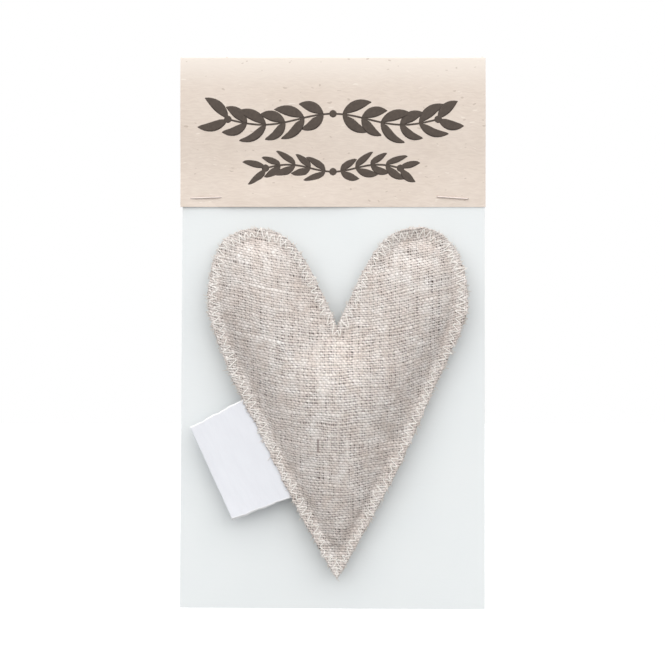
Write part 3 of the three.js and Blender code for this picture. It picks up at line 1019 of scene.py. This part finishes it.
def thread_piece(name, front, node):
    """One thread of the seam, on its own side of the heart."""
    shares, insets, lift = zigzag()
    path = in_frame(on_margin(shares % 1, insets, front, lift))[None]
    facing = forwards if front else -forwards
    radius = thread_radius * mm
    piece = tubes(name, path, facing, radius, thread, sides=6, flatness=0.85, closed=True)
    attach(piece, "sachet")
    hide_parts(node)
    print(name, len(shares) // stroke_points, "strokes")


thread_piece("zigzag_needle_thread", True, "needle_thread")
thread_piece("zigzag_bobbin_thread", False, "bobbin_thread")

# %% [markdown]
# ## The frayed edge
#
# The linen is cut, not hemmed, so short ends of its yarns stand out all round, along whichever set
# of yarns meets the edge most squarely. Between them, single flax fibres curl away. Each end is a
# tube of a few faces, and all of them are worked out as one array.

# %% Yarn ends and fibres
yarn_ends, fibre_ends = 1100, 1600
cut_yarn_radius, fibre_radius = 0.16, 0.035
fray_inward, fray_sunk = 0.05, 0.3
off_grain, bend_spread, rise_spread = 0.35, 1.2, 0.35
length_shape, tip_share = 4, 0.45


def fray_paths(count, seed, steps, reach, spread, on_grain=False):
    """Paths that start just inside the cut edge and curl outwards, as (x, z, forward) places.

    An end's direction is its yarn's, or the edge's outward one, turned by a random angle. Each
    step along it turns further by a constant share of its bend.
    """
    random = np.random.default_rng(seed)
    share = random.uniform(0, 1, count)
    front = random.uniform(size=count) < 0.5
    starts = [on_margin(share, fray_inward, side, -fray_sunk) for side in (True, False)]
    begin = np.where(front[:, None], *starts)
    outward = unit(around(edge_loop, share) - around(seam_loop, share))
    direction = np.arctan2(outward[:, 1], outward[:, 0])
    if on_grain:
        grain = np.round(direction / (np.pi / 2)) * np.pi / 2
        direction = grain + off_grain * (direction - grain)
    turned = (direction + random.normal(0, spread, count))[:, None]
    bend = random.normal(0, bend_spread * spread, count)[:, None]
    length = reach * random.gamma(length_shape, 1 / length_shape, count)[:, None]
    along = np.linspace(0, 1, steps)
    angle = turned + bend * along
    step = length / (steps - 1)
    walk = [(np.cumsum(part, 1) - part[:, :1]) * step for part in (np.cos(angle), np.sin(angle))]
    rise = random.normal(0, rise_spread, count)[:, None] * length * along**2
    return begin[:, None] + beside(*walk, rise)


def fray_piece(name, paths, radius, sides):
    """Tapering tubes along the paths, joined into one mesh."""
    taper = radius * np.linspace(1.0, tip_share, paths.shape[1]) * mm
    piece = tubes(name, in_frame(paths), forwards, taper, fibre, sides)
    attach(piece, "sachet")
    print(name, paths.shape[0], "ends")


fibre = mottled("loose flax", (204, 194, 185), (246, 240, 233), 600.0, Roughness=0.8)[0]

ends = fray_paths(yarn_ends, 41, steps=4, reach=0.95, spread=0.4, on_grain=True)
fray_piece("frayed_yarn_ends", ends, cut_yarn_radius, sides=5)
strands = fray_paths(fibre_ends, 42, steps=6, reach=1.1, spread=0.9)
fray_piece("loose_fibres", strands, fibre_radius, sides=3)

# %% [markdown]
# ## The ribbon label
#
# The label is one length of white satin ribbon, folded in half. Its two ends are caught between
# the panels and its fold stands free. It was cut with a hot knife, which leaves bright, slightly
# wavy edges. The ribbon is one strip: out along the front ply, round the fold and back.

# %% The shape of the folded ribbon
label_inner = np.array([[-36.8, -137.2], [-17.2, -176.0]])
label_outer = np.array([[-56.9, -148.0], [-40.1, -184.6]])
label_tail_length = 4.4
ply_gap = 0.1
fold_radius = 0.34
fold_swell_run = 12.0
rim_share = 0.06
back_ply_slip = 0.5
ribbon_rows, ribbon_steps = 61, 30


def ribbon_profile(steps):
    """Distance out from the heart's edge, and place before or behind the middle, along the ribbon.

    The front ply runs out at half the gap, which widens towards the fold, the fold is half a
    circle, and the back ply mirrors the front one.
    """
    reach = np.linalg.norm(label_outer[0] - label_inner[0])
    out = np.linspace(-label_tail_length, reach - fold_radius, steps)
    opened = smooth((out - reach + fold_swell_run) / fold_swell_run)
    half = ply_gap + (fold_radius - ply_gap) * opened
    turn = np.linspace(np.pi / 2, -np.pi / 2, 9)[1:-1]
    outs = joined(out, out[-1] + fold_radius * np.cos(turn), out[::-1])
    halves = joined(half, fold_radius * np.sin(turn), -half[::-1])
    return outs / reach, halves


def label_places():
    """Points over the ribbon: its length by its width, bilinear between the label's corners.

    The cut edges waver and ruffle by sums of sines, the back ply has slipped a little, and the
    whole label leans forward by the square of the way out.
    """
    outs, halves = ribbon_profile(ribbon_steps)
    out, across = np.meshgrid(outs, np.linspace(0, 1, ribbon_rows), indexing="ij")
    half = np.broadcast_to(halves[:, None], out.shape)
    free = np.clip(out, 0, 1)
    down_label = across[..., None]
    inner, outer = (top + (low - top) * down_label for top, low in (label_inner, label_outer))
    rim = np.clip(1 - np.minimum(across, 1 - across) / rim_share, 0, 1)
    waver = rim * (0.16 * np.sin(17 * out + 1) + 0.09 * np.sin(41 * out + 2))
    waver = waver + np.where(half < 0, back_ply_slip, 0.0) * free
    ruffle = rim * (0.05 * np.sin(23 * out) + 0.04 * np.sin(47 * out + 1)) * np.clip(out * 4, 0, 1)
    lean = 0.35 * free**2 * np.sin(np.pi * across + 0.4)
    down = unit(label_inner[1] - label_inner[0])
    flat = inner + (outer - inner) * out[..., None] + down * waver[..., None]
    y = label_hinge[1] - half + ruffle + lean
    return beside(flat[..., 0], y, flat[..., 1]) * mm, beside(out, across)


# %% Satin
edge_band = 0.02
satin, tree, principled = material("white satin ribbon", Roughness=0.42, Sheen_Weight=0.15)
ribbon_at = add(tree, "UVMap", uv_map="cloth")[0]
out_at, across_at, _ = parts(ribbon_at)
from_middle = calc("ABSOLUTE", across_at - 0.5)
sealed = ranged(from_middle, 0.5 - edge_band, 0.5 - edge_band / 4)
ribs = calc("SINE", out_at * 420.0)
slack = noise(scaled(ribbon_at, 5.0, 3.0, 1.0), detail=3.0)
satin_tone = mixed(slack, (226, 227, 233), (234, 236, 241))
feed(principled, Base_Color=mixed(sealed, satin_tone, (252, 252, 253)))
bump(principled, ribs * 0.03 + sealed * 0.35 + slack, 0.0002)

# %% The label
label_points, label_uv = label_places()
label_faces = grid_faces(*label_points.shape[:2])
label_uv = label_uv.reshape(-1, 2)
label = new_object("folded_ribbon_label", label_points, label_faces, satin, label_uv)
thicken(label, ribbon_thickness, 0)
outward = np.cross(label_axis, [0, 1, 0])
outward = outward * np.sign(-outward[0])
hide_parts("label_tail", "label_loop")
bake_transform(label)
print("ribbon", label_points.shape[:2], "points")

# %% [markdown]
# ## Paper
#
# Header and card are both fibre board, but not the same. The header is recycled: it has brown
# flecks, pale shives, short fibres that lie along the sheet, and a cloudy tone. The card is smooth,
# white and a little blue. One group makes all of these, and each material takes what it needs.

# %% Paper fibres
paper, sheet, paper_end = group("Paper fibres", "Place", "Fibres", "Flecks", "Shives", "Clouds")
bent = scaled(noise(sheet, 160.0, output="Color"), 0.004)
sheet = with_vectors("ADD", sheet, bent)


def specks(stretch, size, kept):
    """Specks in some cells of a Voronoi texture: a share of the cells, each with its own size."""
    cells = add(paper, "TexVoronoi", {"Vector": scaled(sheet, *stretch), "Scale": 1.0})
    pick, own_size, _ = add(paper, "SeparateColor", {0: cells["Color"]})
    here = ranged(cells["Distance"] - own_size * size, 0.0, 0.06, 1.0, 0.0)
    return here * calc("LESS_THAN", pick, kept)


feed(
    paper_end,
    Fibres=noise(scaled(sheet, 260.0, 260.0, 1500.0), detail=3.0),
    Flecks=specks((260.0, 420.0, 560.0), size=0.2, kept=0.5),
    Shives=specks((190.0, 300.0, 900.0), size=0.22, kept=0.35),
    Clouds=noise(sheet, 45.0, 3.0),
)

# %% The two boards
# Painted highlight: the card's colour turns lighter from 16 mm under the top up to the crease, for
# the light that the upward-facing fold catches.
painted_fold_light_from, painted_fold_light_to = -16.0 * mm, -0.5 * mm

kraft, tree, principled = material("recycled card", Roughness=0.9)
place = object_place(tree)
fibres = add(tree, "Group", {"Place": place}, node_tree=paper)
along_fibres = ranged(fibres["Fibres"], 0.25, 0.75)
clouds = ranged(fibres["Clouds"], 0.3, 0.7, 0.0, 0.6)
painted_fold_light = ranged(parts(place)[2], painted_fold_light_from, painted_fold_light_to)
kraft_tone = mixed(along_fibres, (223, 209, 197), (231, 218, 206))
kraft_tone = mixed(clouds, kraft_tone, (248, 246, 244), blend_type="MULTIPLY")
# The lighter colour near the crease is a painted highlight.
kraft_tone = mixed(painted_fold_light, kraft_tone, (236, 226, 216))
kraft_tone = mixed(fibres["Flecks"] * 0.4, kraft_tone, (168, 148, 132))
kraft_tone = mixed(fibres["Shives"] * 0.6, kraft_tone, (247, 238, 228))
feed(principled, Base_Color=kraft_tone)
bump(principled, fibres["Fibres"], 0.00005)

board, tree, principled = material("pale board", Roughness=0.6)
fibres = add(tree, "Group", {"Place": object_place(tree)}, node_tree=paper)
board_tone = mixed(fibres["Clouds"], (231, 235, 236), (235, 238, 238))
feed(principled, Base_Color=board_tone)
bump(principled, fibres["Fibres"], 0.00003)

card = bpy.data.objects["backing_card"]
card.data.materials.clear()
card.data.materials.append(board)
print("paper group with", len(paper.nodes), "nodes")

# %% [markdown]
# ## The folded header
#
# The header is a strip of card over the top of the pack. It is creased at the top, bows out a
# little under the crease, because card springs back, and is flat where the staples press it. So its
# upper part leans back and takes more light. Between the staples nothing presses, so the left part
# of its lower edge stands a little proud and throws a thin shadow, as in the photograph.

# %% The header's section
header_thickness = 0.35
crease_radius = 0.55
widest_z = -21.0
pressed_band = 9.0
flap_middle = 0.475
shoulder_run, shoulder_half = 3.0, 0.5


def header_line():
    """The section's middle line in (y, z): up the front flap, over the crease, down the back."""
    bottom, top = header_low[2], -(crease_radius + header_thickness / 2)
    pressed, widest = bottom + pressed_band, header_high[1] - header_thickness / 2
    middle = (pressed + widest_z) / 2
    bow = [[flap_middle, pressed], [flap_middle, middle], [widest, middle], [widest, widest_z]]
    shoulder = [[widest, widest_z], [widest, widest_z / 2]]
    shoulder += [[crease_radius + shoulder_half, top - shoulder_run], [crease_radius, top]]
    flat = beside(flap_middle, np.linspace(bottom, pressed, 8)[:-1])
    crease = [0, top] + crease_radius * circle(np.linspace(np.pi, 0, 13)[1:-1])
    half = joined(flat, bezier(bow, 20), bezier(shoulder, 16)[1:])
    return joined(half * [-1, 1], crease, half[::-1])


# %% The header's sheet
flap_lift = 0.8
flap_run, flap_start, flap_end = 16.0, -6.0, 18.0
staple_grip_width, staple_grip, grip_run = 6.5, 1.3, 2.8
staple_across = np.array([-0.416, 0.392]) * (header_high[0] - header_low[0])


def flap_rise(x, z):
    """How far the front flap stands off: most at its lower edge, on the left, between staples."""
    from_edge = 1 - smooth((z - header_low[2]) / flap_run)
    along = 1 - smooth((x - flap_start) / (flap_end - flap_start))
    held = sum(np.exp(-(((x - at) / staple_grip_width) ** 2)) for at in staple_across)
    pressed = 0.5 + 0.5 * smooth((z - header_low[2]) / grip_run)
    return flap_lift * from_edge * along * (1 - pressed * np.minimum(staple_grip * held, 1))


header_section = header_line()
header_columns = np.linspace(header_low[0], header_high[0], 81)
line_y, header_x = np.meshgrid(header_section[:, 0], header_columns, indexing="ij")
line_z = header_section[:, 1:2]
in_front = np.arange(len(header_section))[:, None] < len(header_section) / 2
header_y = line_y - np.where(in_front, flap_rise(header_x, line_z), 0)
header_points = beside(header_x, header_y, line_z) * mm
header_faces = grid_faces(*header_points.shape[:2])[:, ::-1]
header = new_object("folded_header", header_points, header_faces, kraft)
thicken(header, header_thickness, 0)
cut_edges = header.modifiers.new("cut edges", "EDGE_SPLIT")
cut_edges.split_angle = math.radians(50)
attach(header, "display_card")
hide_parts("header_card")
print("header", header_points.shape[:2], "points")

# %% [markdown]
# ## A printed ornament
#
# The header is printed in one dark brown. Two plain garlands of leaves and buds fill the printed
# area. Ink has almost no thickness, so each leaf is a flat tube whose radius follows a leaf's
# outline, and it lies on the front flap wherever that bends.

# %% Places on the flap
ink_lift = 0.03


def on_flap(x, z):
    """Places just over the front flap's outer face, in metres, from x and z in millimetres."""
    front = header_section[: len(header_section) // 2]
    y = np.interp(z, front[:, 1], front[:, 0]) - flap_rise(x, z)
    return beside(x, y - header_thickness / 2 - ink_lift, z) * mm


# %% Garlands of leaves
ink_points_each = 11
stem_parts, stem_radius = 8, 0.38
leaf_angle, leaf_bend, leaf_width_share = 0.85, 0.35, 0.172
bud_radius = 1.5


def garland(middle, width, sway, leaf_length, leaf_count):
    """Leaves in pairs along a waving stem with three buds, as paths and radii.

    The stem is a cosine, and each leaf starts along it, turns off it and bends a little back. A
    leaf's radius is its width × sin(π t) to a power, so that it is pointed at both ends, and a
    bud's is a circle's.
    """
    t = np.linspace(0, 1, ink_points_each)
    stem_turns = 3 * np.pi

    def stem(share, x=0, z=0):
        """A place off the stem by x and z, at a share of the garland's width from its middle."""
        return beside(share * width + x, middle + sway * np.cos(stem_turns * share) + z)

    paths = [stem((number + t) / stem_parts - 0.5) for number in range(stem_parts)]
    radii = [np.full_like(t, stem_radius)] * stem_parts
    leaf_radius = leaf_width_share * leaf_length * np.sin(np.pi * np.clip(t, 0.01, 0.99)) ** 0.8
    for number, share in enumerate(np.linspace(-0.5, 0.5, leaf_count)):
        direction = 1 if share >= 0 else -1
        length = leaf_length * (0.85 if number % 2 else 1.0) * t
        slope = -stem_turns * sway / width * np.sin(stem_turns * share)
        for side in (-1, 1):
            turn = side * (leaf_angle - leaf_bend * t) + direction * slope
            paths.append(stem(share, direction * length * np.cos(turn), length * np.sin(turn)))
            radii.append(leaf_radius)
    for share in (-0.5, 0.0, 0.5):
        paths.append(stem(share, 0, bud_radius * (2 * t - 1)))
        radii.append(bud_radius * np.sqrt(np.clip(1 - (2 * t - 1) ** 2, 0.02, 1)))
    return np.array(paths), np.array(radii)


# %% The printed sprigs
ink_flatness = 0.012
ink = mottled("brown ink", (60, 51, 44), (87, 75, 66), 900.0, 3.0, Roughness=0.75)[0]

garlands = (
    garland(-25.0, width=84.0, sway=2.2, leaf_length=12.5, leaf_count=12),
    garland(-44.5, width=54.0, sway=-1.4, leaf_length=9.5, leaf_count=10),
)
flat_paths, ink_radii = (np.concatenate(both) for both in zip(*garlands))
ink_paths = on_flap(flat_paths[..., 0], flat_paths[..., 1])
sprigs = tubes(
    "printed_sprigs", ink_paths, forwards, ink_radii * mm, ink, sides=8, flatness=ink_flatness
)
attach(sprigs, "display_card")
print("ornament", len(ink_paths), "leaves and stems")

# %% [markdown]
# ## Staples and glue dots
#
# A staple is a flattened wire: a crown in front, two legs through the stack, clinched behind.
# Its wire is drawn from a rod, so its section is round at the corners, and carried along the bends.
# The two glue dots are soft, clear discs squeezed between the card and the heart.

# %% The wire of a staple
staple_crown, wire_width, wire_thickness = 12.9, 0.7, 0.5
staple_bend = 0.37
staple_height = header_low[2] + 3.7
staple_turns = np.radians([1.9, -3.8])
clinch_tip, clinch_rise = 2.2, 0.25
crown_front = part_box("staple_left")[0][1] / mm + wire_thickness / 2


def quarter(centre, start_angle, end_angle):
    """A quarter circle of the wire's bend."""
    return centre + staple_bend * circle(np.linspace(start_angle, end_angle, 7))


def staple_path():
    """The wire's middle line in (across, y): from one clinched tip round the crown to the other.

    The clinch is a curve with three control points, weighted by (1 − t)², 2 t (1 − t) and t².
    """
    corner = staple_crown / 2 - wire_thickness / 2 - staple_bend
    front, back = crown_front + staple_bend, -crown_front - staple_bend
    rise = clinch_rise - crown_front
    t = np.linspace(0, 1, 9)[:-1, None]
    clinch = (1 - t) ** 2 * [clinch_tip, -crown_front] + t**2 * [corner, -crown_front]
    clinch = clinch + 2 * t * (1 - t) * [(clinch_tip + corner) / 2, rise]
    bends = [quarter([corner, back], np.pi / 2, 0), quarter([corner, front], 0, -np.pi / 2)]
    right = joined(clinch, *bends)
    return joined(right, (right * [-1, 1])[::-1])


# %% Both staples
steel, tree, principled = material("staple wire", Metallic=1.0, Roughness=0.32)
drawn = noise(scaled(object_place(tree), 200.0, 4000.0, 4000.0), detail=3.0)
feed(
    principled,
    Base_Color=mixed(drawn, (172, 160, 154), (197, 187, 181)),
    Roughness=ranged(drawn, 0.3, 0.7, 0.24, 0.42),
)
bump(principled, drawn, 0.00002)

flat_wire = staple_path()
for name, across, turn in zip(("staple_left", "staple_right"), staple_across, staple_turns):
    x = across + flat_wire[:, 0] * np.cos(turn)
    z = staple_height + flat_wire[:, 0] * np.sin(turn)
    wire = beside(x, flat_wire[:, 1], z)[None] * mm
    facing = np.array([-np.sin(turn), 0, np.cos(turn)])
    radius, widening = wire_thickness / 2 * mm, wire_width / wire_thickness
    staple = tubes(name + "_wire", wire, facing, radius, steel, sides=12, flatness=widening)
    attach(staple, "display_card")
    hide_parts(name)
print("two staples of", flat_wire.shape[0], "rings")

# %% Glue dots
gel_shader = {"Roughness": 0.2, "Transmission_Weight": 0.85, "IOR": 1.45}
gel_tones = (236, 238, 232), (246, 247, 243)
gel, tree, principled = mottled("clear glue", *gel_tones, 260.0, **gel_shader)
bump(principled, noise(object_place(tree), 500.0), 0.0001)


def squeezed_disc(low, high, columns):
    """A disc with a bulging rim between two flat faces: rings along half a rounded section."""
    radius, half, _ = (high - low) / 2
    turn = np.linspace(-np.pi / 2, np.pi / 2, 9)
    flat_radii = [0.02, 0.5 * (radius - half)]
    rim_radii, rim_y = half * circle(turn).T
    section_radius = joined(flat_radii, radius - half + rim_radii, flat_radii[::-1])
    section_y = joined([-half, -half], rim_y, [half, half])
    angle = np.linspace(0, 2 * np.pi, columns, endpoint=False)
    ragged = 1 + 0.03 * np.sin(3 * angle + 1) + 0.02 * np.sin(7 * angle)
    reach = section_radius[:, None] * ragged
    x = (low[0] + high[0]) / 2 + reach * np.cos(angle)
    z = (low[2] + high[2]) / 2 + reach * np.sin(angle)
    return beside(x, (low[1] + high[1]) / 2 + section_y[:, None], z)


for name in ("glue_dot_upper", "glue_dot_lower"):
    low, high = box_mm(name)
    disc = squeezed_disc(low, high, columns=40)
    rings, columns = disc.shape[:2]
    faces = halved(grid_faces(rings, columns, around_columns=True))
    faces = joined(faces, end_caps(columns, rings))
    dot = solid_object(name + "_gel", disc.reshape(-1, 3) * mm, faces, gel)
    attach(dot, "display_card")
    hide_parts(name)
print("two glue dots")

# %% [markdown]
# ## Light, floor and camera
#
# The photograph is a pack shot: white all round, with broad light from above and in front. A sun
# with a wide angle stands for the large lamp, a weaker one lights the back, and the world fills
# in. The camera, and what metal and glass reflect, see pure white. The floor is a pale sheet just
# under the card's foot and keeps a soft shadow. The camera is far away, level and square on, as
# the photograph's is.

# %% World and sun
fill_light = 0.27
# lamps: strength, then elevation, turn from straight ahead and angular width in degrees
lamps = {"broad lamp": (3.52, 56, -1, 120), "back lamp": (1.1, 15, 180, 100)}

world = bpy.data.worlds.new("studio")
bpy.context.scene.world = world
world.use_nodes = True
world.node_tree.nodes.clear()


def seen_white(tree):
    """1 for the rays that should see white: the camera's, and those off metal or through glass."""
    path = add(tree, "LightPath")
    seen = calc("MAXIMUM", path["Is Camera Ray"], path["Is Glossy Ray"])
    return calc("MAXIMUM", seen, path["Is Transmission Ray"])


tree = world.node_tree
strength = add(tree, "MapRange", {0: seen_white(tree), 3: fill_light, 4: 1.0})[0]
background = add(tree, "Background", {"Color": (1, 1, 1, 1), "Strength": strength})[0]
feed(tree.nodes.new("ShaderNodeOutputWorld"), Surface=background)

for name, (lamp_strength, *angles) in lamps.items():
    elevation, turn, width = np.radians(angles)
    sun_data = bpy.data.lights.new(name, "SUN")
    sun_data.energy, sun_data.angle = lamp_strength, width
    sun = bpy.data.objects.new(name, sun_data)
    bpy.context.scene.collection.objects.link(sun)
    level = math.cos(elevation)
    towards = Vector((level * math.sin(turn), -level * math.cos(turn), math.sin(elevation)))
    sun.rotation_euler = towards.to_track_quat("Z", "Y").to_euler()
print("fill", fill_light, "and lamps", lamps)

# %% Floor
floor_reach = 3.0
floor_gap = 0.0003
floor_glow = 0.74
floor_material, tree, principled = material(
    "pale floor", Roughness=0.9, Base_Color=colour((150, 150, 150)), Emission_Color=(1, 1, 1, 1)
)
feed(principled, Emission_Strength=seen_white(tree) * floor_glow)
level = card_low[2] * mm - floor_gap
sides = ((-1, -1), (1, -1), (1, 1), (-1, 1))
corners = [(x * floor_reach, y * floor_reach, level) for x, y in sides]
floor = new_object("floor", corners, [[0, 1, 2, 3]], floor_material)

# %% Camera
lens, sensor = 200.0, 36.0
view_half = 0.133
view_middle = Vector((-0.0002, 0.0, -0.1102))
clip_near, clip_far = 0.05, 20
camera_data = bpy.data.cameras.new("pack shot")
camera_data.lens, camera_data.sensor_width = lens, sensor
camera_data.clip_start, camera_data.clip_end = clip_near, clip_far
camera = bpy.data.objects.new("pack shot", camera_data)
bpy.context.scene.collection.objects.link(camera)
camera.location = view_middle - Vector((0, view_half * lens / (sensor / 2), 0))
camera.rotation_euler = (math.radians(90), 0, 0)
bpy.context.scene.camera = camera
bpy.context.scene.view_settings.view_transform = "Standard"
